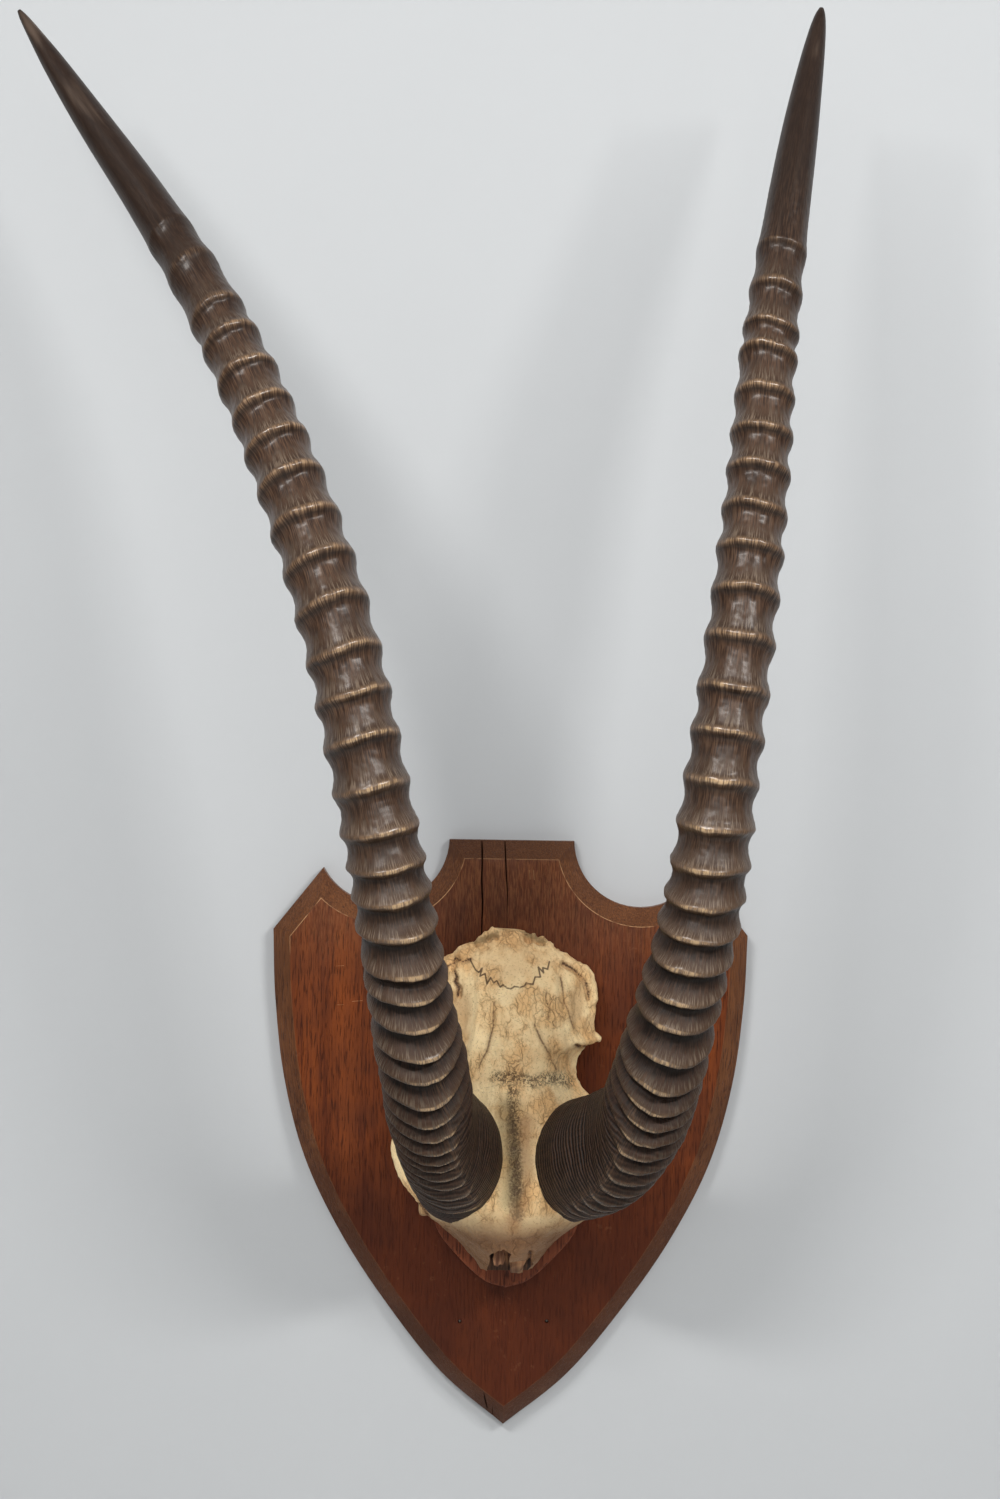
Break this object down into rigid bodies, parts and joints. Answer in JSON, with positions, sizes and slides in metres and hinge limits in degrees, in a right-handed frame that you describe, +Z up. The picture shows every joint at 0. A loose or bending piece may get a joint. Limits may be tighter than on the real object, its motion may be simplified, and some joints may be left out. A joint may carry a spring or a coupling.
{
  "type": "pair of sable antelope horns",
  "caption": "Pair of long ringed antelope horns on a cut skull cap, screwed through a small block to a shield-shaped wooden wall board with a bevelled edge.",
  "frame": {"origin": "middle of the shield's flat back, which lies against the wall", "axes": "+X to the right as seen from the front, +Y into the wall, +Z up along the shield and the horns; the horns stand out towards -Y"},
  "size_m": [0.517, 0.265, 0.9443],
  "materials": {
    "board_wood": "dark reddish-brown stained hardwood with a worn satin varnish and vertical grain",
    "block_wood": "reddish wood, matt",
    "bone": "old cream bone, dry and slightly porous, with brown stains",
    "horn": "dark grey-brown horn keratin, satin, with worn golden-brown ring crests",
    "brass": "aged brass",
    "steel": "dull steel"
  },
  "bodies": {
    "root": {"shield": "board_wood", "backing_block": "block_wood", "skull": "bone", "left_horn": "horn", "right_horn": "horn", "hanger_plate": "brass", "hanger_screw_upper": "brass", "hanger_screw_lower": "brass", "skull_screw_upper": "steel", "skull_screw_lower": "steel"}
  },
  "joints": []
}
